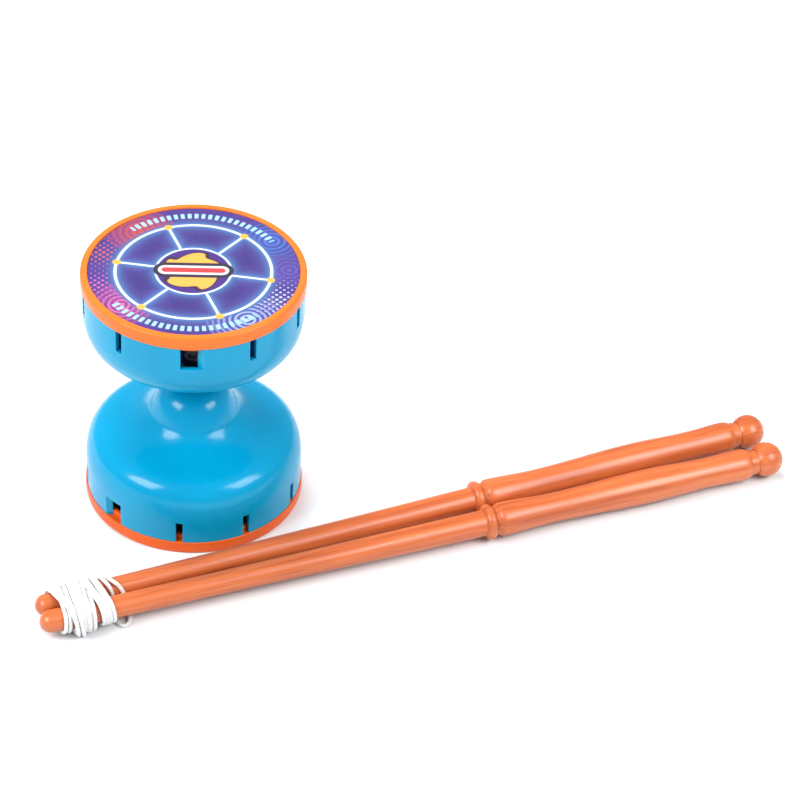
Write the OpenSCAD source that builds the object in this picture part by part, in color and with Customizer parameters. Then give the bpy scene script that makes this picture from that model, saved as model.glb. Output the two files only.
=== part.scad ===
// Toy diabolo set: an hourglass spool that stands on one end, and a pair of handsticks
// lying beside it with their string wound round both tips.
// Millimetres, +Z up. The origin is the middle of the spool's base, on the surface it stands on.

/* [Spool] */
// Diameter of the end caps, the widest part of the spool
cap_d = 95; // [79:1:115]
// Height of the whole spool, from one cap's rim to the other's
spool_h = 117; // [97:1:145]
// Height of the cap's coloured edge
cap_edge_h = 5.9; // [4.5:0.1:8]
// How far the cap stands proud of the cup's side
cup_step = 0.4; // [0.2:0.1:1]
// Wall of the moulded cup
wall = 2; // [1.5:0.1:2.6]
// Straight part of the cup's side, above the cap
side_h = 11.2; // [9:0.1:14]
// Height of the domed neck, from the crease at its foot to its end
neck_h = 13.7; // [12:0.1:17]
// Diameter of the crease
crease_d = 38.2; // [34:0.1:44]
// Wall of the neck round the axle sleeve
neck_wall = 1.6; // [1.2:0.1:2.4]
// Thickness of the floor that closes the neck inside
neck_floor = 3; // [2.5:0.1:4]

/* [End cap] */
// Thickness of the cap's disc
cap_floor = 2; // [1.6:0.1:3]
// Width of the raised rim round the label
rim_w = 3; // [2:0.1:5]
// Radius of the rim's outer edge
rim_round = 1.2; // [0.6:0.1:2]
// How deep the label is set below the rim
label_recess = 0.9; // [0.4:0.1:1.2]
// Thickness of the printed label
label_t = 0.2; // [0.1:0.05:0.3]
// How far the cap's plug ring reaches into the cup
plug_h = 2.6; // [2:0.1:5]
// Wall of the plug ring
plug_wall = 1.8; // [1.4:0.1:3]

/* [Whistle openings] */
// Number of openings round each cup's rim
opening_count = 10; // [6:2:14]
// Length of the openings, from the cup's rim
opening_h = 10.5; // [6:0.5:12.5]
// Width of a plain slot
slot_w = 3.05; // [2:0.05:4]
// Width of the two large windows
window_w = 10.5; // [8:0.1:12]
// How far a window's slanted lip leans in
lip_run = 3; // [1:0.1:4]
// Turn of the lower cup about the axle
lower_turn = -133.8; // [-180:0.1:180]
// Turn of the upper cup about the axle
upper_turn = -95; // [-180:0.1:180]

/* [Axle] */
// Diameter of the steel sleeve that the string runs on
sleeve_d = 12; // [10:0.1:15]
// Length of sleeve that shows between the two necks
sleeve_gap = 3; // [2.5:0.1:6]
// How deep the sleeve sits in each neck
sleeve_seat = 2; // [1.5:0.1:2.5]
// Diameter of the through bolt
bolt_d = 5; // [4:0.5:6]
// How far the bolt's end stands out of the nut
bolt_end = 1.8; // [0.5:0.1:3]
// Width of the bolt head and the nut across their flats
hex_w = 8; // [7.5:0.1:10]
// Height of the bolt's head
head_h = 3.5; // [3:0.1:5]
// Height of the nut
nut_h = 5; // [4:0.1:6]
// Thickness of a washer
washer_t = 1; // [0.8:0.1:1.5]
// How far a washer reaches past the flats of the head and the nut
washer_rim = 1; // [0.7:0.1:1.5]

/* [Handsticks] */
// Length of a handstick
stick_len = 343.3; // [285:0.1:415]
// Diameter of the shaft at its tip
shaft_d = 9.6; // [8:0.1:12]
// Diameter of the shaft at the bead
shaft_end_d = 11.5; // [9:0.1:13]
// Diameter of the bead ring
bead_d = 15.7; // [14:0.1:20]
// Width of the bead ring
bead_w = 4.8; // [4:0.1:6]
// Distance from the knob's end to the bead
grip_len = 142.3; // [120:0.1:173]
// Diameter of the handle's swell
swell_d = 15.1; // [13:0.1:18]
// Diameter of the round knob
knob_d = 15.4; // [14:0.1:19]
// Diameter of the hole that the string is tied through
tie_hole_d = 2.2; // [2:0.1:3]
// Gap between the two shafts at their tips
tip_gap = 0.4; // [0.3:0.1:2]
// How far one stick's tip lies ahead of the other's
tip_stagger = 1; // [0:0.1:4]
// Direction of the pair of sticks on the surface
stick_azimuth = 18.93; // [0:0.01:40]
// How far the tips lie past the place where the pair comes nearest to the spool
tip_reach = 87.1; // [40:0.1:160]
// Distance from the spool's cap to the middle of the pair at that place
spool_clearance = 20.8; // [16:0.1:60]

/* [String] */
// Diameter of the string
string_d = 1.7; // [1.4:0.1:2.1]
// Length of the wound stretch
wrap_len = 24; // [15:1:35]
// Distance from the sticks' tips to the wound stretch
wrap_start = 8; // [7:0.5:12]

/* [Hidden] */
$fn = 96;
over = 1;                // how far a cutter reaches past what it cuts
eps = 0.01;
seat_gap = 0.05;         // one piece seated in another
bolt_gap = 0.15;         // bolt in its holes
pair_gap = 0.3;          // between the two beads, the widest places of the sticks
stick_gap = 0.4;         // string's solid round the shafts
string_gap = 0.05;       // string's first turns on the shafts
rest_gap = 0.12;         // sticks and string above the surface

// The cup's curves: where their control points lie
crease_lift = 1.5;       // top of the shoulder below the crease
shoulder_run = 12.5;     // out from the crease, where the shoulder starts to fall
shoulder_fall = 13.2;
swell_run = 1.5;         // in from the crease, where the neck's dome is fullest
swell_rise = 4.1;
crown_run = 7.4;         // out from the neck's end, where its dome rounds over
crown_fall = 0.9;

// The sticks' turned details
taper_start = 45;        // shaft's taper past the string
collar_gap = 3.1;        // groove between the bead and the handle's collar
collar_low = 0.15;       // places along the handle, lower than the swell
waist_low = 1.1;
hollow_low = 0.9;
heel_low = 0.5;
heel_len = 4.2;          // rounded end of the handle before the knob
heel_drop = 1.6;
knob_neck = 4;           // thin neck before the knob
tie_inset = 6;           // tie hole from the start of the string

cap_r = cap_d / 2;
cup_r = cap_r - cup_step;
bore_r = cup_r - wall;
crease_r = crease_d / 2;
neck_r = sleeve_d / 2 + neck_wall;
cup_h = (spool_h - sleeve_gap) / 2 - cap_edge_h;      // a cup, from its rim to its neck's end
crease_h = cup_h - neck_h;
floor_top = cup_h - sleeve_seat;
floor_bottom = floor_top - neck_floor;
head_z = cap_edge_h + floor_bottom - washer_t;        // underside of the bolt's head
bolt_len = spool_h - 2 * head_z + nut_h + bolt_end;
hex_r = hex_w / 2 / cos(30);
washer_d = hex_w + 2 * washer_rim;

tip_r = shaft_d / 2;
swell_r = swell_d / 2;
bead_s = stick_len - grip_len;
handle_len = grip_len - knob_d;
tip_spacing = shaft_d + tip_gap;
bead_spacing = max(bead_d, swell_d) + pair_gap;
splay = asin((bead_spacing - tip_spacing) / (bead_s - tip_r));
layer_step = 0.88 * string_d;                         // second layer lies in the first one's hollows
wrap_r = tip_r + string_gap + string_d + layer_step;
wrap_mid = wrap_start + wrap_len / 2 - tip_r;
wrap_spacing = tip_spacing + 2 * wrap_mid * sin(splay / 2);
axis_z = max(wrap_r, bead_d / 2, swell_r, knob_d / 2) + rest_gap;

// The handle's high and low places, as [distance from the bead, radius]
handle = [
    [bead_w / 2 + collar_gap, swell_r - collar_low],
    [0.24 * handle_len, swell_r - waist_low],
    [0.6 * handle_len, swell_r],
    [0.84 * handle_len, swell_r - hollow_low],
    [0.958 * handle_len, swell_r - heel_low]
];

// Along the string's small loop, as distance past the wound stretch, place across the sticks and height
loop_route = [
    [0, -1, 1], [2, -0.8, 0.9], [4.2, -1, 0.87], [6, -2.3, 0.87], [6.3, -4.6, 0.87], [5.7, -7, 0.87],
    [4.6, -9, 0.87], [3, -10, 0.87], [1.4, -9.5, 0.88], [0, -8.3, 1]
];

// Points of a cubic curve with four control points, its first point left out
function curve(a, b, c, d, n = 20) = [
    for (i = [1 : n]) let (t = i / n, u = 1 - t)
        u * u * u * a + 3 * u * u * t * b + 3 * u * t * t * c + t * t * t * d
];

// Outline of the cup's outside, from the rim up the side and shoulder to the end of the neck
function cup_outside() = concat(
    [[cup_r, 0], [cup_r, side_h]],
    curve([cup_r, side_h], [cup_r, crease_h - crease_lift],
        [crease_r + shoulder_run, crease_h - shoulder_fall], [crease_r, crease_h]),
    curve([crease_r, crease_h], [crease_r - swell_run, crease_h + swell_rise],
        [neck_r + crown_run, cup_h - crown_fall], [neck_r, cup_h], 16)
);

// Outline of its inside, from the neck's floor down to the rim
function cup_inside() = let (in_r = crease_r - 0.6 * wall, in_h = crease_h - wall, pocket_r = neck_r + 0.6) concat(
    [[0, floor_bottom], [pocket_r, floor_bottom]],
    curve([pocket_r, floor_bottom], [pocket_r + 4.8, floor_bottom + 0.8],
        [in_r - swell_run, in_h + swell_rise], [in_r, in_h], 14),
    curve([in_r, in_h], [in_r + shoulder_run, in_h - shoulder_fall],
        [bore_r, in_h - crease_lift], [bore_r, side_h]),
    [[bore_r, -over], [0, -over]]
);

// A plain slot through the wall, from the rim
module slot() {
    translate([bore_r - 2, -slot_w / 2, -over]) cube([wall + 4, slot_w, opening_h + over]);
}

// A large window: one side cut square in line with the slots, the other leaning in as a lip
module window() {
    low = slot_w / 2;
    high = low - window_w;
    lean = lip_run / wall;
    translate([0, 0, -over]) linear_extrude(opening_h + over) polygon([
        [bore_r - 2, low], [cup_r + 2, low],
        [cup_r + 2, high - 2 * lean], [bore_r, high + lip_run], [bore_r - 2, high + lip_run]
    ]);
}

// One cup with its open end down and its rim at z = 0
module cup() {
    difference() {
        rotate_extrude() polygon(concat([[0, 0]], cup_outside(), [[0, cup_h]]));
        rotate_extrude() polygon(cup_inside());
        for (i = [0 : opening_count - 1]) rotate(i * 360 / opening_count)
            if (i % (opening_count / 2) == 0) window(); else slot();
        translate([0, 0, floor_top]) cylinder(r = sleeve_d / 2 + seat_gap, h = sleeve_seat + over);
        translate([0, 0, floor_bottom - over]) cylinder(r = bolt_d / 2 + bolt_gap, h = neck_floor + 2 * over);
    }
}

// One end cap with its label recess down and its rim at z = 0
module end_cap() {
    plug_r = bore_r - seat_gap;
    lead_in = 0.5;
    rotate_extrude() polygon(concat(
        [[0, label_recess], [cap_r - rim_w, label_recess], [cap_r - rim_w, 0], [cap_r - rim_round, 0]],
        [for (a = [-75 : 15 : 0]) [cap_r - rim_round + rim_round * cos(a), rim_round + rim_round * sin(a)]],
        [[cap_r, cap_edge_h], [plug_r, cap_edge_h], [plug_r, cap_edge_h + plug_h - lead_in],
         [plug_r - lead_in, cap_edge_h + plug_h], [plug_r - plug_wall, cap_edge_h + plug_h],
         [plug_r - plug_wall, label_recess + cap_floor], [0, label_recess + cap_floor]]
    ));
}

// One printed label, as it lies in a cap whose rim is at z = 0
module label() {
    translate([0, 0, label_recess - label_t])
        cylinder(r = cap_r - rim_w - seat_gap, h = label_t);
}

// Places a piece of the lower half on the upper half, turned over end for end
module upper_half() {
    translate([0, 0, spool_h]) rotate([180, 0, 0]) children();
}

module lower_cup() {
    color("deepskyblue") translate([0, 0, cap_edge_h]) rotate(lower_turn) cup();
}

module upper_cup() {
    color("deepskyblue") upper_half() translate([0, 0, cap_edge_h]) rotate(-upper_turn) cup();
}

module lower_end_cap() {
    color("orangered") end_cap();
}

module upper_end_cap() {
    color("orange") upper_half() end_cap();
}

module lower_label() {
    color("slateblue") label();
}

module upper_label() {
    color("slateblue") upper_half() label();
}

// Steel tube between the two necks, seated in both
module axle_sleeve() {
    sleeve_len = sleeve_gap + 2 * sleeve_seat;
    color("silver") translate([0, 0, cap_edge_h + floor_top]) difference() {
        cylinder(d = sleeve_d, h = sleeve_len);
        translate([0, 0, -over]) cylinder(r = bolt_d / 2 + bolt_gap, h = sleeve_len + 2 * over);
    }
}

// Bolt that clamps both cups on the sleeve, its head in the lower neck
module axle_bolt() {
    color("gray") {
        translate([0, 0, head_z - head_h]) cylinder(r = hex_r, h = head_h, $fn = 6);
        translate([0, 0, head_z - eps]) cylinder(d = bolt_d, h = bolt_len + eps);
    }
}

// Nut in the upper neck
module axle_nut() {
    color("gray") translate([0, 0, spool_h - head_z]) difference() {
        cylinder(r = hex_r, h = nut_h, $fn = 6);
        translate([0, 0, -over]) cylinder(r = bolt_d / 2 + seat_gap, h = nut_h + 2 * over);
    }
}

// One washer under the head and one under the nut
module axle_washers() {
    color("silver") for (z = [head_z, spool_h - head_z - washer_t]) translate([0, 0, z]) difference() {
        cylinder(d = washer_d, h = washer_t);
        translate([0, 0, -over]) cylinder(r = bolt_d / 2 + bolt_gap, h = washer_t + 2 * over);
    }
}

// Radius of the handle eased between two of its places
function eased(a, b, n = 10) = [
    for (i = [1 : n]) let (k = (1 - cos(180 * i / n)) / 2)
        [bead_s + a[0] + (b[0] - a[0]) * i / n, a[1] + (b[1] - a[1]) * k]
];

// Outline of a handstick along its length: [distance from the tip, radius]
function stick_outline() = let (collar = bead_s + handle[0][0], heel = handle[4], knob_s = stick_len - knob_d / 2)
concat(
    [for (a = [0 : 10 : 90]) [tip_r - tip_r * cos(a), tip_r * sin(a)]],
    [[wrap_start + wrap_len + taper_start, tip_r], [bead_s - bead_w / 2 + 0.4, shaft_end_d / 2]],
    [[bead_s + bead_w / 2 - 0.3, handle[0][1] - 1.1], [collar - 1.6, handle[0][1] - 1]],
    [[collar - 0.9, handle[0][1] - 0.35], [collar, handle[0][1]]],
    eased(handle[0], handle[1]), eased(handle[1], handle[2], 14), eased(handle[2], handle[3], 12),
    eased(handle[3], handle[4], 6),
    [for (a = [15 : 15 : 75]) [bead_s + heel[0] + heel_len * sin(a), heel[1] - 1.4 * (1 - cos(a))]],
    [[knob_s - knob_neck, heel[1] - heel_drop], [knob_s, heel[1] - heel_drop]]
);

// One handstick standing on its tip
module handstick() {
    knob_s = stick_len - knob_d / 2;
    ring_r = bead_d / 2 - bead_w / 2;
    ring_core = bead_w - 1.2;
    difference() {
        union() {
            rotate_extrude() polygon(concat([for (p = stick_outline()) [p[1], p[0]]], [[0, knob_s]]));
            translate([0, 0, bead_s]) rotate_extrude() translate([ring_r, 0]) circle(d = bead_w);
            translate([0, 0, bead_s - ring_core / 2]) cylinder(r = ring_r, h = ring_core);
            translate([0, 0, knob_s]) sphere(d = knob_d);
        }
        translate([0, 0, wrap_start + tie_inset]) rotate([90, 0, 0])
            cylinder(d = tie_hole_d, h = shaft_d + 2 * over, center = true);
    }
}

// Places a piece that runs along the pair of sticks: X from the tips to the knobs, Y across, Z up
module along_pair() {
    rotate(stick_azimuth) translate([-tip_reach, -cap_r - spool_clearance, axis_z]) children();
}

// A handstick lying in the pair, on the left (1) or the right (-1) as seen from the tips
module lying_stick(side) {
    along_pair() translate([0, side * tip_spacing / 2, 0]) rotate(side * splay / 2)
        translate([side * tip_stagger / 2 - tip_r, 0, 0]) rotate([0, 90, 0]) handstick();
}

module left_handstick() {
    color("chocolate") lying_stick(1);
}

module right_handstick() {
    color("chocolate") lying_stick(-1);
}

// Outline of a band round both shafts
module band(r) {
    for (side = [-1, 1]) translate([0, side * wrap_spacing / 2]) circle(r = r);
    square([2 * r, wrap_spacing], center = true);
}

// The string's turns round both shafts, as one solid
module string_wrap() {
    color("white") along_pair() translate([wrap_start - tip_r, 0, 0]) rotate([0, 90, 0])
        linear_extrude(wrap_len) difference() {
            band(wrap_r);
            band(tip_r + stick_gap);
        }
}

// Eight-sided tube swept along a route that stays nearly level
module tube(route, d) {
    n = len(route);
    sides = 8;
    ring = [for (i = [0 : n - 1])
        let (
            t = i == 0 || i == n - 1 ? [1, 0, 0] : route[i + 1] - route[i - 1],
            way = i == n - 1 ? -t : t,
            across = [-way[1], way[0], 0] / norm([way[0], way[1]]),
            up = cross(way, across) / norm(way)
        )
        for (k = [0 : sides - 1]) route[i] + d / 2 * (cos(45 * k + 22.5) * across + sin(45 * k + 22.5) * up)];
    faces = concat(
        [[for (k = [0 : sides - 1]) k]],
        [for (i = [0 : n - 2], k = [0 : sides - 1]) let (a = i * sides, b = a + sides, m = (k + 1) % sides)
            [a + m, a + k, b + k, b + m]],
        [[for (k = [sides - 1 : -1 : 0]) (n - 1) * sides + k]]
    );
    polyhedron(ring, faces, convexity = 4);
}

// Small loop of string that lies on the surface beside the wound stretch
module string_loop() {
    color("white") along_pair() translate([wrap_start + wrap_len - tip_r, 0, -axis_z])
        tube(loop_route, string_d);
}

lower_cup();
upper_cup();
lower_end_cap();
upper_end_cap();
lower_label();
upper_label();
axle_sleeve();
axle_bolt();
axle_nut();
axle_washers();
left_handstick();
right_handstick();
string_wrap();
string_loop();
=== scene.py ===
# %% [markdown]
# # A diabolo with its handsticks and string
# The set has three kinds of thing in it: a spool of two moulded cups on a metal axle, two turned wooden
# handsticks, and one white string wound round both sticks. The CAD model gives each piece's place and size.
# Here each piece that shows is modelled again with finer curves, and gets the finish of its real material.

# %% Load the frame
import math
import bpy
from mathutils import Matrix, Vector


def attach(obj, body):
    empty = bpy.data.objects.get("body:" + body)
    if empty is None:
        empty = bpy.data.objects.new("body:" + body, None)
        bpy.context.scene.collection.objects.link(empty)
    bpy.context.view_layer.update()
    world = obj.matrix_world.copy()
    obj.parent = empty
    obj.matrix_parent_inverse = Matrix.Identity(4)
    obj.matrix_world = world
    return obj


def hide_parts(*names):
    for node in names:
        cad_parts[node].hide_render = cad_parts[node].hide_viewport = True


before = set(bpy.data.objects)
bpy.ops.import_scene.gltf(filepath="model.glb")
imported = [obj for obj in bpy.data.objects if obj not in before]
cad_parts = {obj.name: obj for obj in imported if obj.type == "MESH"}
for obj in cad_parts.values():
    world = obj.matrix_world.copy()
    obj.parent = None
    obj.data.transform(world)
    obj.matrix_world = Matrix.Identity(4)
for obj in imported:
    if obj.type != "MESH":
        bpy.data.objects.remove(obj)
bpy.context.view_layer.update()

# %% [markdown]
# ## Sizes
# The CAD source isn't read here, so its main values are written again, in metres. They are the spool's cap,
# cup and neck, the turn of each cup's openings, and how the two sticks lie beside each other.

# %% Sizes from the CAD model
MM = 0.001
cap_r, spool_h = 47.5 * MM, 117 * MM
cap_edge_h, cup_r, wall, side_h = 5.9 * MM, 47.1 * MM, 2 * MM, 11.2 * MM
cup_h, crease_h, crease_r = 51.1 * MM, 37.4 * MM, 19.1 * MM
neck_r, sleeve_r, bolt_hole_r = 7.6 * MM, 6.05 * MM, 2.65 * MM
floor_top, floor_bottom = 49.1 * MM, 46.1 * MM
slot_w, window_w, window_lean, cutter_h = 3.05 * MM, 10.5 * MM, 3 * MM, 11.5 * MM
openings_round, window_every = 10, 5
# The shoulder's and the neck dome's curves, as runs and rises from the crease and the neck's end
shoulder_run, shoulder_fall, crease_lift = 12.5 * MM, 13.2 * MM, 1.5 * MM
swell_run, swell_rise, crown_run, crown_fall = 1.5 * MM, 4.1 * MM, 7.4 * MM, 0.9 * MM
lower_turn, upper_turn = math.radians(-133.8), math.radians(-95)
stick_len, bead_s = 343.3 * MM, 201 * MM
tip_r, tip_spacing, tip_stagger = 4.8 * MM, 10 * MM, 1 * MM
stick_azimuth, splay = math.radians(18.93), math.asin((16.0 - 10.0) / (201 - 4.8))
pair_place = Vector((-87.1 * MM, -68.3 * MM, 8.166 * MM))
string_d = 1.7 * MM

# %% [markdown]
# ## Camera
# A long lens looks down on the set from the front. It is made first, because the string's loose loop has to
# be seen by it.

# %% Camera
lens_data = bpy.data.cameras.new("camera")
lens_data.lens, lens_data.sensor_width = 132.37, 36
camera = bpy.data.objects.new("camera", lens_data)
bpy.context.scene.collection.objects.link(camera)
look = Vector((0.06984832, 0.77362448, -0.6297828)).normalized()
up = Vector((0.000726666, 0.631285105, 0.775550507))
right = look.cross(up).normalized()
up = right.cross(look)
camera.matrix_world = Matrix.Translation((0, -0.98937, 0.85187)) @ Matrix((right, up, -look)).transposed().to_4x4()
bpy.context.scene.camera = camera
print("camera at", [round(v, 3) for v in camera.matrix_world.translation])

# %% [markdown]
# ## Helpers for making meshes
# Moulded cups, caps and turned sticks are all round, so one helper spins an outline into each of them.
# Another gives a finished piece its name and its body, and hides the CAD node it stands for.

# %% Select nothing, and finish a piece
def start_clean():
    if bpy.context.object and bpy.context.object.mode == "EDIT":
        bpy.ops.object.mode_set(mode="OBJECT")
    bpy.ops.object.select_all(action="DESELECT")


def finish_piece(piece, name, body, nodes, angle=32):
    start_clean()
    piece.name = piece.data.name = name
    piece.select_set(True)
    bpy.context.view_layer.objects.active = piece
    bpy.ops.object.transform_apply(location=True, rotation=True, scale=True)
    if angle:
        bpy.ops.object.shade_smooth_by_angle(angle=math.radians(angle))
    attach(piece, body)
    if nodes:
        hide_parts(*nodes)
    print(name, len(piece.data.polygons), "faces")
    return piece


# %% Spin an outline into a turned piece
def spun(outline, steps, axis=(0, 0, 1)):
    """Draws the outline, as (radius, height) pairs, from one vertex, and spins it once round."""
    start_clean()
    bpy.ops.mesh.primitive_plane_add(size=MM)
    piece = bpy.context.object
    bpy.ops.object.mode_set(mode="EDIT")
    bpy.ops.mesh.select_all(action="SELECT")
    bpy.ops.mesh.merge(type="CENTER")
    bpy.ops.transform.translate(value=(outline[0][0], 0, outline[0][1]))
    for (r0, z0), (r1, z1) in zip(outline, outline[1:]):
        bpy.ops.mesh.extrude_region_move(TRANSFORM_OT_translate={"value": (r1 - r0, 0, z1 - z0)})
    bpy.ops.mesh.select_all(action="SELECT")
    bpy.ops.mesh.spin(steps=steps, angle=2 * math.pi, center=(0, 0, 0), axis=axis)
    bpy.ops.mesh.select_all(action="SELECT")
    bpy.ops.mesh.remove_doubles(threshold=0.002 * MM)
    bpy.ops.mesh.normals_make_consistent(inside=False)
    bpy.ops.object.mode_set(mode="OBJECT")
    return piece


def curve(a, b, c, d, n):
    """Points of a cubic curve, its first point left out."""
    points = []
    for i in range(1, n + 1):
        t = i / n
        u = 1 - t
        k = (u ** 3, 3 * u * u * t, 3 * u * t * t, t ** 3)
        points.append(tuple(k[0] * a[j] + k[1] * b[j] + k[2] * c[j] + k[3] * d[j] for j in (0, 1)))
    return points


def arc(centre, radius, start, end, n=6):
    """Points of an arc, both ends included, in degrees."""
    return [(centre[0] + radius * math.cos(math.radians(start + (end - start) * i / n)),
             centre[1] + radius * math.sin(math.radians(start + (end - start) * i / n))) for i in range(n + 1)]


def select_only(piece):
    start_clean()
    piece.select_set(True)
    bpy.context.view_layer.objects.active = piece


# %% [markdown]
# ## String
# The real string is a white braided cord, doubled, and wound by hand round both sticks near their tips. It
# could be a plain band, but then no single turn would show. So one line follows both strands through every
# turn, out to the small loop where they meet, and back. The turns under the sticks lie flat on the table.

# %% String's route
def in_pair(s, y, z):
    """A point s along the sticks from their tips, y across and z above their axes, in the frame."""
    return pair_place_world @ Vector((s - tip_r, y, z))


pair_place_world = Matrix.Rotation(stick_azimuth, 4, "Z") @ Matrix.Translation(pair_place)


def half_gap(s):
    return tip_spacing / 2 + (s - tip_r) * math.sin(splay / 2)


def round_both(turn, radius, half):
    """Place across and above, after so many turns round both sticks, from the top middle."""
    straight, bend = 2 * half, math.pi * radius
    way = (turn % 1.0) * 2 * (straight + bend)
    if way < half:
        return -way, radius
    way -= half
    if way < bend:
        a = math.pi / 2 + way / radius
        return -half + radius * math.cos(a), radius * math.sin(a)
    way -= bend
    if way < straight:
        return -half + way, -radius
    way -= straight
    if way < bend:
        a = -math.pi / 2 + way / radius
        return half + radius * math.cos(a), radius * math.sin(a)
    return half - (way - bend), radius


# The winding's stages: turns made, place along the sticks, radius and lean, in millimetres
stages = [
    (-0.25, 18.6, 5.7, 0.3), (0.6, 16.6, 5.7, 0.4), (1.6, 12.7, 5.7, 0.6), (2.6, 8.1, 5.7, 0.6),
    (2.9, 8.9, 6.2, 1.2), (3.2, 13.0, 7.3, 1.0), (3.5, 16.8, 7.2, 0.2), (3.75, 19.0, 5.8, 0.0),
    (5.0, 21.4, 5.7, -0.5), (5.3, 21.2, 7.2, -1.0), (7.95, 13.8, 7.2, -1.0), (8.2, 14.2, 8.3, -0.6),
    (8.8, 20.8, 8.6, 0.2), (9.0, 23.8, 6.6, 0.8), (9.12, 24.6, 5.75, 1.0), (9.75, 26.6, 6.2, 1.0),
    (10.25, 28.4, 5.7, 1.0), (10.86, 31.3, 5.7, 0.2),
]
last_turn = 10.86
strand_gap = 0.87 * MM
# Lowest that the string's middle can lie, with its underside on the table
on_table = string_d / 2 - pair_place.z


def wound(turn):
    """Stage values at a turn, eased from one stage to the next."""
    for a, b in zip(stages, stages[1:]):
        if turn <= b[0]:
            k = (turn - a[0]) / (b[0] - a[0])
            return [a[i] + (b[i] - a[i]) * k for i in (1, 2, 3)]
    return list(stages[-1][1:])


def smooth_wound(turn):
    near = [wound(min(max(turn + 0.04 * i, stages[0][0]), last_turn)) for i in range(-3, 4)]
    return [sum(v[i] for v in near) / len(near) for i in range(3)]


def strand(start, side):
    """Points of one of the two strands, from its start to the end of the winding."""
    points = []
    count = round((last_turn - start) * 26)
    for i in range(count + 1):
        turn = start + (last_turn - start) * i / count
        s, radius, lean = smooth_wound(turn)
        radius += max(0, radius - 6.4) * 0.16 * math.sin(11.3 * turn + 2 * side)
        y, z = round_both(turn, radius * MM, half_gap(s * MM))
        z = max(z, on_table)
        along = s + lean * -y / (12 * MM) + 0.2 * math.sin(2.3 * turn + side) + 0.12 * math.sin(7.1 * turn)
        points.append(in_pair(along * MM + side * strand_gap, y, z))
    return points


def through(points, steps=6):
    """A smooth line through the points."""
    line = []
    ends = [points[0] * 2 - points[1]] + points + [points[-1] * 2 - points[-2]]
    for p0, p1, p2, p3 in zip(ends, ends[1:], ends[2:], ends[3:]):
        for i in range(steps):
            t = i / steps
            line.append(0.5 * (2 * p1 + (p2 - p0) * t + (2 * p0 - 5 * p1 + 4 * p2 - p3) * t * t
                               + (3 * p1 - p0 - 3 * p2 + p3) * t ** 3))
    return line + [points[-1]]


# The loose loop, as (along, across, above) in millimetres
loop_points = [
    (31.0, 3.6, 5.9), (31.9, 1.8, 4.4), (32.6, 0.6, 1.5), (32.9, 0.1, -2.5), (33.0, -0.6, -5.8),
    (32.7, -2.6, -7.2), (32.3, -5.0, -7.29), (32.3, -7.6, -7.29), (33.4, -9.6, -7.29),
    (35.2, -10.2, -7.29), (36.8, -8.6, -7.29), (37.9, -5.8, -7.29),
    (38.5, -3.2, -7.2), (38.6, -1.0, -5.8), (38.2, -0.1, -2.5), (37.4, 0.4, 1.2), (35.9, 1.6, 4.3), (34.2, 3.2, 5.8),
]
left_strand, right_strand = strand(-0.25, -1), strand(0.25, 1)
# Both ends are tucked away under the turns
tuck_s, tuck_y = 16.4 * MM, half_gap(16 * MM)
left_end = [in_pair(tuck_s, tuck_y - 1 * MM, 0), in_pair(tuck_s, tuck_y + 3.5 * MM, 0)]
right_end = [in_pair(tuck_s, -tuck_y - 3.5 * MM, 0), in_pair(tuck_s, -tuck_y + 1 * MM, 0)]
loop = [in_pair(s * MM, y * MM, z * MM) for s, y, z in loop_points]
bight = through([left_strand[-1]] + loop + [right_strand[-1]])
route = left_end + left_strand[:-1] + bight + right_strand[-2::-1] + right_end

# %% String's mesh
start_clean()
line = bpy.data.curves.new("string", "CURVE")
line.dimensions = "3D"
line.bevel_depth, line.bevel_resolution, line.use_fill_caps = string_d / 2, 4, True
spline = line.splines.new("POLY")
spline.points.add(len(route) - 1)
for point, place in zip(spline.points, route):
    point.co = (*place, 1)
string = bpy.data.objects.new("string", line)
bpy.context.scene.collection.objects.link(string)
select_only(string)
bpy.ops.object.convert(target="MESH")
string = bpy.context.object
sides = len(string.data.vertices) // len(route)
print("string rings:", len(route), "of", sides, "sides")
# Every point of the tube keeps its way round and its way along, for the braid's pattern
reach = [0.0]
for a, b in zip(route, route[1:]):
    reach.append(reach[-1] + (b - a).length / string_d)
lay = string.data.attributes.new("lay", "FLOAT_VECTOR", "POINT")
for i, item in enumerate(lay.data):
    turn = 2 * math.pi * (i % sides) / sides
    item.vector = (math.cos(turn), math.sin(turn), reach[min(i // sides, len(route) - 1)])
finish_piece(string, "string_cord", "string", ("string_wrap", "string_loop"), 60)

# %% [markdown]
# ## Floor, lights and colours
# The set stands on a plain white table. Two softboxes in front give the cups their paired highlights, and a
# larger one behind and above throws the soft shadow forwards.

# %% Floor
start_clean()
bpy.ops.mesh.primitive_grid_add(x_subdivisions=4, y_subdivisions=4, size=8, location=(0, 0, 0))
floor = bpy.context.object
floor.name = "floor"


# %% Material helper
def new_material(name):
    """A material with its shader, its node tree and a shortcut that adds nodes."""
    material = bpy.data.materials.new(name)
    material.use_nodes = True
    tree = material.node_tree
    shader = tree.nodes["Principled BSDF"]

    def add(kind, inputs=None, **settings):
        node = tree.nodes.new("ShaderNode" + kind)
        for key, value in settings.items():
            setattr(node, key, value)
        for key, value in (inputs or {}).items():
            if isinstance(value, bpy.types.NodeSocket):
                tree.links.new(value, node.inputs[key])
            else:
                node.inputs[key].default_value = value
        return node

    return material, shader, tree, add


def rgb(r, g, b):
    """A screen colour as the linear one that nodes take."""
    return tuple((c / 255 / 12.92 if c < 11 else ((c / 255 + 0.055) / 1.055) ** 2.4) for c in (r, g, b)) + (1,)


def calc(add, operation, *values):
    node = add("Math", dict(enumerate(values)), operation=operation)
    return node.outputs[0]


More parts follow.
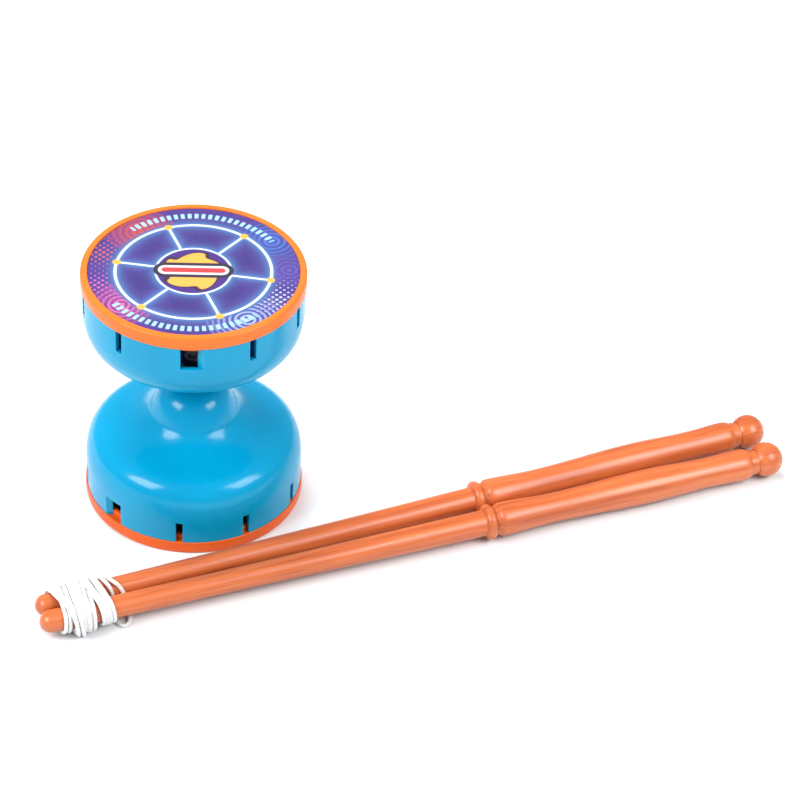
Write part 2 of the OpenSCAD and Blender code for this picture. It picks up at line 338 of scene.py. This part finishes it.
def ramp(add, value, stops, mode="LINEAR"):
    node = add("ValToRGB", {0: value})
    node.color_ramp.interpolation = mode
    while len(node.color_ramp.elements) < len(stops):
        node.color_ramp.elements.new(0.5)
    for element, (place, colour) in zip(node.color_ramp.elements, stops):
        element.position = place
        element.color = colour if isinstance(colour, tuple) else (colour, colour, colour, 1)
    return node.outputs[0]


def blend_colour(add, amount, a, b, mode="MIX"):
    node = add("Mix", None, data_type="RGBA", blend_type=mode)
    tree = node.id_data
    for socket, value in ((node.inputs[0], amount), (node.inputs[6], a), (node.inputs[7], b)):
        if isinstance(value, bpy.types.NodeSocket):
            tree.links.new(value, socket)
        else:
            socket.default_value = value
    return node.outputs[2]


def moulded_plastic(name, colour, deep, roughness, coat=0.35):
    material, shader, tree, add = new_material(name)
    place = add("TexCoord").outputs["Object"]
    cloud = add("TexNoise", {"Vector": place, "Scale": 28, "Detail": 2}).outputs[0]
    patches = ramp(add, cloud, [(0.35, 0.0), (0.65, 1.0)])
    tree.links.new(blend_colour(add, patches, rgb(*deep), rgb(*colour)), shader.inputs["Base Color"])
    fine = add("TexNoise", {"Vector": place, "Scale": 900, "Detail": 3}).outputs[0]
    sheen = add("MapRange", {0: fine, 3: roughness - 0.04, 4: roughness + 0.05}).outputs[0]
    tree.links.new(sheen, shader.inputs["Roughness"])
    bump = add("Bump", {"Height": fine, "Strength": 0.06, "Distance": 0.0002})
    tree.links.new(bump.outputs[0], shader.inputs["Normal"])
    shader.inputs["Coat Weight"].default_value = coat
    shader.inputs["Coat Roughness"].default_value = 0.12
    shader.inputs["Specular IOR Level"].default_value = 0.18
    return material


cup_plastic = moulded_plastic("cup plastic", (0, 143, 184), (0, 138, 179), 0.18, 0.12)
cup_shader = cup_plastic.node_tree.nodes["Principled BSDF"]
cup_shader.inputs["Subsurface Weight"].default_value = 0.4
cup_shader.inputs["Subsurface Radius"].default_value = (0.5, 0.5, 1.0)
cup_shader.inputs["Subsurface Scale"].default_value = 0.006
# Both caps are the same orange plastic. The upper cap's copy is painted lighter, as painted light from above, and the
# lower cap's copy is painted darker and redder, as painted shade.
lit_cap_plastic = moulded_plastic("cap plastic", (224, 108, 40), (218, 103, 36), 0.34, 0.08)
shaded_cap_plastic = moulded_plastic("cap plastic with painted shade", (216, 90, 26), (210, 85, 24), 0.34, 0.08)

# %% [markdown]
# The braid's threads cross each other in two slanting sets. The tube keeps its own way round and way along at
# every point, so the pattern follows the string wherever it turns.

# %% White braid
braid, shader, tree, add = new_material("white braid")
shader.inputs["Roughness"].default_value = 0.8
shader.inputs["Sheen Weight"].default_value = 0.2
lay_parts = add("SeparateXYZ", {0: add("Attribute", attribute_name="lay").outputs["Vector"]})
round_it = calc(add, "ARCTAN2", lay_parts.outputs[1], lay_parts.outputs[0])
along_it = calc(add, "MULTIPLY", lay_parts.outputs[2], 2 * math.pi / 0.95)
twice_round, half_along = calc(add, "MULTIPLY", round_it, 2.0), calc(add, "MULTIPLY", along_it, 0.5)
left_lay = calc(add, "ABSOLUTE", calc(add, "SINE", calc(add, "ADD", twice_round, half_along)))
right_lay = calc(add, "ABSOLUTE", calc(add, "SINE", calc(add, "SUBTRACT", twice_round, half_along)))
plait = calc(add, "MINIMUM", left_lay, right_lay)
# The grey at the low end of the ramp is painted shade in the grooves where the threads meet; the threads themselves are
# white.
thread_and_groove_shade_colours = [(0.0, rgb(180, 180, 182)), (0.35, rgb(222, 222, 222)), (1.0, rgb(232, 232, 232))]
tree.links.new(ramp(add, plait, thread_and_groove_shade_colours), shader.inputs["Base Color"])
bump = add("Bump", {"Height": plait, "Strength": 0.5, "Distance": 0.0003})
tree.links.new(bump.outputs[0], shader.inputs["Normal"])
string.data.materials.clear()
string.data.materials.append(braid)

# %% Floor finish
paper, shader, tree, add = new_material("studio floor")
shader.inputs["Base Color"].default_value = (0.72, 0.73, 0.74, 1)
shader.inputs["Roughness"].default_value = 0.9
floor.data.materials.append(paper)

# %% Lights
world = bpy.data.worlds.new("studio")
bpy.context.scene.world = world
world.use_nodes = True
world.node_tree.nodes["Background"].inputs[0].default_value = (0.96, 0.98, 1.0, 1)
world.node_tree.nodes["Background"].inputs[1].default_value = 0.46
bpy.context.scene.view_settings.view_transform = "Standard"


def softbox(name, azimuth, elevation, distance, width, height, watts):
    light = bpy.data.lights.new(name, "AREA")
    light.shape, light.size, light.size_y, light.energy = "RECTANGLE", width, height, watts
    lamp = bpy.data.objects.new(name, light)
    bpy.context.scene.collection.objects.link(lamp)
    a, e = math.radians(azimuth), math.radians(elevation)
    way = Vector((math.cos(e) * math.cos(a), math.cos(e) * math.sin(a), math.sin(e)))
    lamp.location = way * distance
    lamp.rotation_euler = (-way).to_track_quat("-Z", "Y").to_euler()
    return lamp


softbox("left softbox", -150, 42, 1.3, 0.6, 0.6, 16)
softbox("right softbox", -30, 42, 1.3, 0.6, 0.6, 13)
softbox("top softbox", 112, 62, 1.5, 0.7, 0.7, 22).visible_glossy = False

# %% [markdown]
# ## Cups
# Each cup is one glossy moulded shell: a straight side, a full shoulder, a soft crease and a domed neck, hollow
# inside. It is spun from one outline, inside and outside together, so the wall is real. The whistle openings
# are cut out with blocks, because they go right through the wall and their sides show.

# %% Cups
def cup_outline():
    """The shell's outline, up the outside and back down the inside."""
    outside = [(cup_r, 0.0), (cup_r, side_h)]
    outside += curve((cup_r, side_h), (cup_r, crease_h - crease_lift),
                     (crease_r + shoulder_run, crease_h - shoulder_fall), (crease_r, crease_h), 36)
    outside += curve((crease_r, crease_h), (crease_r - swell_run, crease_h + swell_rise),
                     (neck_r + crown_run, cup_h - crown_fall), (neck_r, cup_h - 0.1 * MM), 36)
    lip = [(neck_r - 0.4 * MM, cup_h)]
    in_r, in_h, pocket_r = crease_r - 0.6 * wall, crease_h - wall, neck_r + 0.6 * MM
    inside = [(sleeve_r, cup_h), (sleeve_r, floor_top), (bolt_hole_r, floor_top), (bolt_hole_r, floor_bottom),
              (pocket_r, floor_bottom)]
    inside += curve((pocket_r, floor_bottom), (pocket_r + 4.8 * MM, floor_bottom + 0.8 * MM),
                    (in_r - swell_run, in_h + swell_rise), (in_r, in_h), 20)
    inside += curve((in_r, in_h), (in_r + shoulder_run, in_h - shoulder_fall),
                    (cup_r - wall, in_h - crease_lift), (cup_r - wall, side_h), 28)
    return outside + lip + inside + [(cup_r - wall, 0.0), (cup_r, 0.0)]


def cutter_block(low, high, lean_low, turn):
    """A block through the wall: low and high are its sides outside, lean_low how far one leans in."""
    start_clean()
    bpy.ops.mesh.primitive_cube_add(size=1, location=(cup_r - wall / 2, (low + high) / 2, 4.75 * MM))
    block = bpy.context.object
    bpy.ops.object.mode_set(mode="EDIT")
    bpy.ops.mesh.select_all(action="SELECT")
    bpy.ops.transform.resize(value=(wall + 4 * MM, high - low, cutter_h))
    bpy.ops.object.mode_set(mode="OBJECT")
    if lean_low:
        reach = lean_low / wall
        for vertex in block.data.vertices:
            if vertex.co.y < 0:
                vertex.co.y += -reach * vertex.co.x + lean_low / 2
    bpy.ops.object.transform_apply(location=True, rotation=True, scale=True)
    block.rotation_euler.z = turn
    bpy.ops.object.transform_apply(location=True, rotation=True, scale=True)
    return block


def make_cup(name, node, flip, turn):
    cup = spun(cup_outline(), 288)
    blocks = []
    for i in range(openings_round):
        at = turn + i * 2 * math.pi / openings_round
        if i % window_every == 0:
            blocks.append(cutter_block(slot_w / 2 - window_w, slot_w / 2, window_lean, at))
        else:
            blocks.append(cutter_block(-slot_w / 2, slot_w / 2, 0, at))
    start_clean()
    for block in blocks:
        block.select_set(True)
    bpy.context.view_layer.objects.active = blocks[0]
    bpy.ops.object.join()
    cutter = bpy.context.object
    select_only(cup)
    cut = cup.modifiers.new("openings", "BOOLEAN")
    cut.object, cut.operation, cut.solver = cutter, "DIFFERENCE", "EXACT"
    bpy.ops.object.modifier_apply(modifier=cut.name)
    bpy.data.objects.remove(cutter)
    select_only(cup)
    if flip:
        cup.rotation_euler.x = math.pi
        cup.location.z = spool_h - cap_edge_h
    else:
        cup.location.z = cap_edge_h
    finish_piece(cup, name, "spool", (node,))
    cup.data.materials.clear()
    cup.data.materials.append(cup_plastic)
    return cup


make_cup("lower_blue_cup", "lower_cup", False, lower_turn)
make_cup("upper_blue_cup", "upper_cup", True, -upper_turn)

# %% [markdown]
# ## End caps
# Each cap is an orange disc with a raised, rounded rim, and a ring that plugs into the cup. It is spun too.

# %% End caps
label_recess, rim_w, rim_round = 0.9 * MM, 3 * MM, 1.2 * MM
plug_r, plug_h, plug_wall, cap_floor = cup_r - wall - 0.05 * MM, 2.6 * MM, 1.8 * MM, 2 * MM


def cap_outline():
    edge = 0.35 * MM
    outline = [(0, label_recess), (cap_r - rim_w - 0.05 * MM, label_recess),
               (cap_r - rim_w, label_recess - 0.05 * MM)]
    outline += arc((cap_r - rim_w + edge, edge), edge, 180, 270, 5)
    outline += arc((cap_r - rim_round, rim_round), rim_round, 270, 360, 10)
    outline += arc((cap_r - edge, cap_edge_h - edge), edge, 0, 90, 5)
    plug_end = cap_edge_h + plug_h
    outline += [(plug_r, cap_edge_h), (plug_r, plug_end - 0.5 * MM), (plug_r - 0.5 * MM, plug_end),
                (plug_r - plug_wall, plug_end), (plug_r - plug_wall, label_recess + cap_floor),
                (0, label_recess + cap_floor)]
    return outline


def make_cap(name, node, flip, material):
    cap = spun(cap_outline(), 256)
    if flip:
        cap.rotation_euler.x = math.pi
        cap.location.z = spool_h
    finish_piece(cap, name, "spool", (node,))
    cap.data.materials.append(material)
    return cap


# The lower cap takes the copy with painted shade, the upper cap the copy with painted light.
make_cap("lower_orange_cap", "lower_end_cap", False, shaded_cap_plastic)
make_cap("upper_orange_cap", "upper_end_cap", True, lit_cap_plastic)

# %% [markdown]
# ## Labels
# A printed paper disc lies in each cap's recess. The print has a wheel of six spokes with gold studs, rings
# and dots in the outer band, and a golden swirl in the middle. Plain bars stand where lettering would be.

# %% Label print
label_r = 44.45 * MM


def label_print():
    material, shader, tree, add = new_material("label print")
    shader.inputs["Roughness"].default_value = 0.4
    shader.inputs["Specular IOR Level"].default_value = 0.25
    place = add("Mapping", {"Vector": add("TexCoord").outputs["Object"], "Location": (0.004, 0.009, 0),
                            "Scale": (1 / label_r, 1 / label_r, 0)}).outputs[0]
    parts = add("SeparateXYZ", {0: place})
    x, y = parts.outputs[0], parts.outputs[1]
    far = add("VectorMath", {0: place}, operation="LENGTH").outputs["Value"]
    angle = calc(add, "ARCTAN2", y, x)
    sixth = math.pi / 3

    def below(value, limit, soft=0.01):
        """1 where the value is under the limit, with a short soft edge."""
        return add("MapRange", {0: value, 1: limit - soft, 2: limit + soft, 3: 1.0, 4: 0.0}).outputs[0]

    def times(*values):
        result = values[0]
        for value in values[1:]:
            result = calc(add, "MULTIPLY", result, value)
        return result

    # Angle folded into one sixth, with its spoke in the middle
    from_spoke = calc(add, "ADD", angle, 11 * math.pi / 180 + sixth / 2 + 2 * math.pi)
    folded = calc(add, "SUBTRACT", calc(add, "MODULO", from_spoke, sixth), sixth / 2)
    off_spoke = calc(add, "MULTIPLY", far, calc(add, "ABSOLUTE", calc(add, "SINE", folded)))
    in_wheel = times(below(far, 0.73), calc(add, "SUBTRACT", 1.0, below(far, 0.352)))
    off_outer = calc(add, "ABSOLUTE", calc(add, "SUBTRACT", far, 0.735))
    off_inner = calc(add, "ABSOLUTE", calc(add, "SUBTRACT", far, 0.355))
    spoke_far = calc(add, "ADD", off_spoke, calc(add, "MULTIPLY", calc(add, "SUBTRACT", 1.0, in_wheel), 1.0))
    nearest = calc(add, "MINIMUM", calc(add, "MINIMUM", off_outer, off_inner), spoke_far)
    glow = calc(add, "POWER", 2.718, calc(add, "MULTIPLY", nearest, -24.0))
    cloud = add("TexNoise", {"Vector": place, "Scale": 2.6, "Detail": 3}).outputs[0]
    grain = add("TexNoise", {"Vector": place, "Scale": 60, "Detail": 2}).outputs[0]
    base = blend_colour(add, ramp(add, cloud, [(0.35, 0.0), (0.65, 1.0)]), rgb(80, 56, 146), rgb(88, 66, 158))
    patch = times(in_wheel, below(off_inner, 0.24, 0.14), add("MapRange", {0: off_spoke, 1: 0.04, 2: 0.2}).outputs[0])
    base = blend_colour(add, calc(add, "MULTIPLY", patch, 0.75), base, rgb(62, 44, 132))
    base = blend_colour(add, calc(add, "MULTIPLY", glow, 0.9), base, rgb(96, 186, 232))

    def round_place(cx, cy):
        offset = add("VectorMath", {0: place, 1: (cx, cy, 0)}, operation="DISTANCE")
        return offset.outputs["Value"]

    outer_band = calc(add, "SUBTRACT", 1.0, below(far, 0.775, 0.012))
    for cx, cy, reach, period, colour, back in (
        (-0.50, 0.63, 0.36, 0.062, rgb(232, 96, 74), rgb(206, 84, 96)),
        (-0.66, -0.52, 0.34, 0.055, rgb(250, 140, 196), rgb(188, 70, 150)),
        (0.50, -0.75, 0.42, 0.052, rgb(200, 232, 255), rgb(90, 100, 190)),
        (0.745, 0.48, 0.36, 0.055, rgb(86, 150, 226), rgb(78, 92, 186)),
        (0.90, 0.02, 0.30, 0.055, rgb(118, 104, 190), rgb(96, 82, 172)),
    ):
        d = round_place(cx, cy)
        fade = calc(add, "POWER", add("MapRange", {0: d, 1: reach, 2: 0.0, 3: 0.0, 4: 1.0}).outputs[0], 0.7)
        wave = calc(add, "SINE", calc(add, "MULTIPLY", d, 2 * math.pi / period))
        rings = add("MapRange", {0: wave, 1: -0.1, 2: 0.35}).outputs[0]
        base = blend_colour(add, times(fade, outer_band, 0.85), base, back)
        base = blend_colour(add, times(fade, rings, outer_band, 0.95), base, colour)
    # Halftone dots in three parts of the band
    cell = 0.052
    turned = add("VectorRotate", {"Vector": place, "Angle": 0.785}, rotation_type="Z_AXIS").outputs[0]
    grid = add("VectorMath", {0: turned, 1: (1 / cell, 1 / cell, 0)}, operation="MULTIPLY").outputs[0]
    inside = add("VectorMath", {0: grid}, operation="FRACTION").outputs[0]
    off_dot = add("VectorMath", {0: inside, 1: (0.5, 0.5, 0)}, operation="DISTANCE").outputs["Value"]
    for cx, cy, reach, colour in ((-0.86, 0.28, 0.42, rgb(240, 120, 110)), (-0.88, -0.22, 0.40, rgb(244, 120, 190)),
                                  (0.80, -0.44, 0.46, rgb(226, 240, 255))):
        d = round_place(cx, cy)
        size = add("MapRange", {0: d, 1: 0.0, 2: reach, 3: 0.40, 4: 0.0}).outputs[0]
        dot = add("MapRange", {0: calc(add, "SUBTRACT", size, off_dot), 1: 0.0, 2: 0.08}).outputs[0]
        base = blend_colour(add, times(dot, calc(add, "SUBTRACT", 1.0, below(far, 0.80, 0.01)), 0.95), base, colour)
    base = blend_colour(add, 1.0, base, (0.46, 0.42, 0.50, 1), "MULTIPLY")
    # White rings, spokes and gold studs
    white_rings = calc(add, "MAXIMUM", below(off_outer, 0.0125, 0.005), below(off_inner, 0.010, 0.005))
    white = calc(add, "MAXIMUM", white_rings,
                 times(in_wheel, below(off_spoke, 0.011, 0.005)))
    base = blend_colour(add, white, base, rgb(214, 222, 230))
    stud_x = calc(add, "SUBTRACT", calc(add, "MULTIPLY", far, calc(add, "COSINE", folded)), 0.735)
    stud_y = calc(add, "MULTIPLY", far, calc(add, "SINE", folded))
    stud_square = calc(add, "ADD", calc(add, "MULTIPLY", stud_x, stud_x), calc(add, "MULTIPLY", stud_y, stud_y))
    off_stud = calc(add, "SQRT", stud_square)
    base = blend_colour(add, below(off_stud, 0.040, 0.006), base, rgb(214, 154, 54))
    # Rows of short bars in the band, at the top and at the bottom
    for middle, spread in ((math.radians(82), 0.86), (math.radians(-98), 0.84)):
        from_middle = calc(add, "ABSOLUTE", calc(add, "WRAP", calc(add, "SUBTRACT", angle, middle), math.pi, -math.pi))
        step = 0.075
        tick = calc(add, "ABSOLUTE", calc(add, "SUBTRACT", calc(add, "FRACT", calc(add, "DIVIDE", angle, step)), 0.5))
        off_row = calc(add, "ABSOLUTE", calc(add, "SUBTRACT", far, 0.885))
        bar = times(below(tick, 0.27, 0.05), below(off_row, 0.036, 0.008),
                    below(from_middle, spread, 0.01))
        base = blend_colour(add, bar, base, rgb(140, 190, 214))
    # Middle: a golden swirl on the violet disc, crossed by a dark band
    disc = below(far, 0.345, 0.01)
    base = blend_colour(add, disc, base, rgb(58, 32, 104))
    swirl = calc(add, "SINE", calc(add, "ADD", calc(add, "MULTIPLY", angle, 5.0), calc(add, "MULTIPLY", far, 26.0)))
    edge = calc(add, "ADD", 0.265, calc(add, "MULTIPLY", swirl, 0.03))
    base = blend_colour(add, below(calc(add, "SUBTRACT", far, edge), 0.022, 0.006), base, rgb(30, 24, 40))
    base = blend_colour(add, below(calc(add, "SUBTRACT", far, edge), 0.0, 0.006), base, rgb(212, 150, 60))
    tilt = add("VectorRotate", {"Vector": place, "Angle": 0.03}, rotation_type="Z_AXIS").outputs[0]
    flat = add("SeparateXYZ", {0: tilt})
    band_x = calc(add, "MAXIMUM", calc(add, "SUBTRACT", calc(add, "ABSOLUTE", flat.outputs[0]), 0.265), 0.0)
    band_y = calc(add, "SUBTRACT", flat.outputs[1], 0.015)
    band_square = calc(add, "ADD", calc(add, "MULTIPLY", band_x, band_x), calc(add, "MULTIPLY", band_y, band_y))
    off_band = calc(add, "SQRT", band_square)
    base = blend_colour(add, below(off_band, 0.115, 0.006), base, rgb(34, 30, 42))
    base = blend_colour(add, below(off_band, 0.068, 0.006), base, rgb(206, 208, 214))
    base = blend_colour(add, below(off_band, 0.038, 0.006), base, rgb(190, 50, 50))
    # The paper's own faint mottle
    base = blend_colour(add, 0.04, base, blend_colour(add, grain, rgb(40, 30, 90), rgb(220, 220, 250)))
    tree.links.new(base, shader.inputs["Base Color"])
    bump = add("Bump", {"Height": grain, "Strength": 0.05, "Distance": 0.0001})
    tree.links.new(bump.outputs[0], shader.inputs["Normal"])
    return material


label_material = label_print()
for name, node, flip in (("lower_printed_label", "lower_label", False), ("upper_printed_label", "upper_label", True)):
    top, thick = label_recess, 0.2 * MM
    edge = 0.05 * MM
    outline = [(0, top), (label_r - edge, top), (label_r, top - edge), (label_r, top - thick + edge),
               (label_r - edge, top - thick), (0, top - thick)]
    label = spun(outline, 192)
    if flip:
        label.rotation_euler.x = math.pi
        label.location.z = spool_h
    finish_piece(label, name, "spool", (node,))
    label.data.materials.append(label_material)

# %% [markdown]
# ## Handsticks
# Each stick is turned from one piece of wood: a round tip, a tapering shaft, a bead ring, a swelling handle
# and a knob. One outline holds all of it, so it is spun in one go and laid down beside its partner.

# %% Handsticks
handle_len = 142.3 * MM - 15.4 * MM
swell_r, bead_r, knob_r = 7.55 * MM, 7.85 * MM, 7.7 * MM
handle = [(5.5 * MM, swell_r - 0.15 * MM), (0.24 * handle_len, swell_r - 1.1 * MM), (0.6 * handle_len, swell_r),
          (0.84 * handle_len, swell_r - 0.9 * MM), (0.958 * handle_len, swell_r - 0.5 * MM)]


def eased(a, b, n):
    return [(bead_s + a[0] + (b[0] - a[0]) * i / n, a[1] + (b[1] - a[1]) * (1 - math.cos(math.pi * i / n)) / 2)
            for i in range(1, n + 1)]


def stick_outline():
    """(distance from the tip, radius) along a handstick."""
    points = [(tip_r - tip_r * math.cos(math.radians(a)), tip_r * math.sin(math.radians(a))) for a in range(0, 91, 6)]
    points += [(77 * MM, tip_r), (140 * MM, 5.26 * MM), (bead_s - 2.6 * MM, 5.72 * MM)]
    ring = 2.4 * MM
    points += [(bead_s - ring * math.cos(math.radians(a)), bead_r - ring + ring * math.sin(math.radians(a)))
               for a in range(15, 166, 10)]
    points += [(bead_s + 2.5 * MM, 6.3 * MM), (bead_s + 3.6 * MM, 6.35 * MM), (bead_s + 4.4 * MM, 6.8 * MM),
               (bead_s + 4.9 * MM, 7.22 * MM), (bead_s + 5.5 * MM, handle[0][1])]
    for a, b, n in zip(handle, handle[1:], (16, 22, 18, 10)):
        points += eased(a, b, n)
    heel = handle[4]
    points += [(bead_s + heel[0] + 4.2 * MM * math.sin(math.radians(a)),
                heel[1] - 1.4 * MM * (1 - math.cos(math.radians(a))))
               for a in range(10, 81, 10)]
    knob_s = stick_len - knob_r
    neck_low = heel[1] - 1.6 * MM
    points += [(knob_s - 4.8 * MM, neck_low)]
    points += [(knob_s - knob_r * math.cos(math.radians(a)), knob_r * math.sin(math.radians(a)))
               for a in range(48, 181, 6)]
    points[-1] = (stick_len, 0.0)
    return points


def stained_wood(name, azimuth, offset):
    material, shader, tree, add = new_material(name)
    place = add("TexCoord").outputs["Object"]
    lengthwise = add("Mapping", {"Vector": place, "Rotation": (0, 0, -azimuth), "Location": (offset, 0, 0)}).outputs[0]
    long_grain = add("Mapping", {"Vector": lengthwise, "Scale": (9, 230, 230)}).outputs[0]
    fine_grain = add("Mapping", {"Vector": lengthwise, "Scale": (30, 1400, 1400)}).outputs[0]
    broad = add("TexNoise", {"Vector": long_grain, "Scale": 1.0, "Detail": 4, "Roughness": 0.6,
                             "Distortion": 0.4}).outputs[0]
    pores = add("TexNoise", {"Vector": fine_grain, "Scale": 1.0, "Detail": 3, "Roughness": 0.55}).outputs[0]
    stain = [(0.30, rgb(162, 74, 34)), (0.47, rgb(184, 92, 46)), (0.60, rgb(194, 102, 55)), (0.75, rgb(201, 113, 64))]
    pore_lines = calc(add, "MULTIPLY", ramp(add, pores, [(0.30, 1.0), (0.46, 0.0)]), 0.45)
    colour = blend_colour(add, pore_lines, ramp(add, broad, stain), rgb(123, 51, 23))
    tree.links.new(colour, shader.inputs["Base Color"])
    tree.links.new(add("MapRange", {0: broad, 1: 0.3, 2: 0.7, 3: 0.42, 4: 0.30}).outputs[0], shader.inputs["Roughness"])
    bump = add("Bump", {"Height": pores, "Strength": 0.18, "Distance": 0.0002})
    tree.links.new(bump.outputs[0], shader.inputs["Normal"])
    shader.inputs["Coat Weight"].default_value = 0.12
    shader.inputs["Coat Roughness"].default_value = 0.22
    return material


for name, node, body, side in (("left_turned_stick", "left_handstick", "left_stick", 1),
                               ("right_turned_stick", "right_handstick", "right_stick", -1)):
    stick = spun([(r, s) for s, r in stick_outline()], 96)
    select_only(stick)
    turn = side * splay / 2
    lie = Matrix.Translation((side * tip_stagger / 2 - tip_r, 0, 0)) @ Matrix.Rotation(math.pi / 2, 4, "Y")
    beside = Matrix.Translation((0, side * tip_spacing / 2, 0)) @ Matrix.Rotation(turn, 4, "Z")
    stick.matrix_world = pair_place_world @ beside @ lie
    finish_piece(stick, name, body, (node,))
    stick.data.materials.append(stained_wood(f"{name} wood", stick_azimuth + turn, 0.37 * side))

# %% [markdown]
# ## Metal
# The axle's sleeve, bolt, nut and washers are the CAD model's own pieces, and only get their metal here.

# %% Metal
def metal(name, colour, roughness, scale):
    material, shader, tree, add = new_material(name)
    shader.inputs["Metallic"].default_value = 1
    place = add("TexCoord").outputs["Object"]
    stretched = add("Mapping", {"Vector": place, "Scale": scale}).outputs[0]
    rings = add("TexNoise", {"Vector": stretched, "Scale": 1, "Detail": 3}).outputs[0]
    tree.links.new(blend_colour(add, rings, rgb(*[c - 22 for c in colour]), rgb(*colour)), shader.inputs["Base Color"])
    dullness = add("MapRange", {0: rings, 3: roughness - 0.08, 4: roughness + 0.1}).outputs[0]
    tree.links.new(dullness, shader.inputs["Roughness"])
    bump = add("Bump", {"Height": rings, "Strength": 0.15, "Distance": 0.0001})
    tree.links.new(bump.outputs[0], shader.inputs["Normal"])
    return material


brushed = metal("brushed steel", (206, 206, 208), 0.32, (60, 60, 4000))
zinc = metal("zinc plate", (204, 206, 200), 0.36, (900, 900, 900))
for node, material in (("axle_sleeve", brushed), ("axle_bolt", zinc), ("axle_nut", zinc), ("axle_washers", zinc)):
    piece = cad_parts[node]
    piece.data.materials.clear()
    piece.data.materials.append(material)
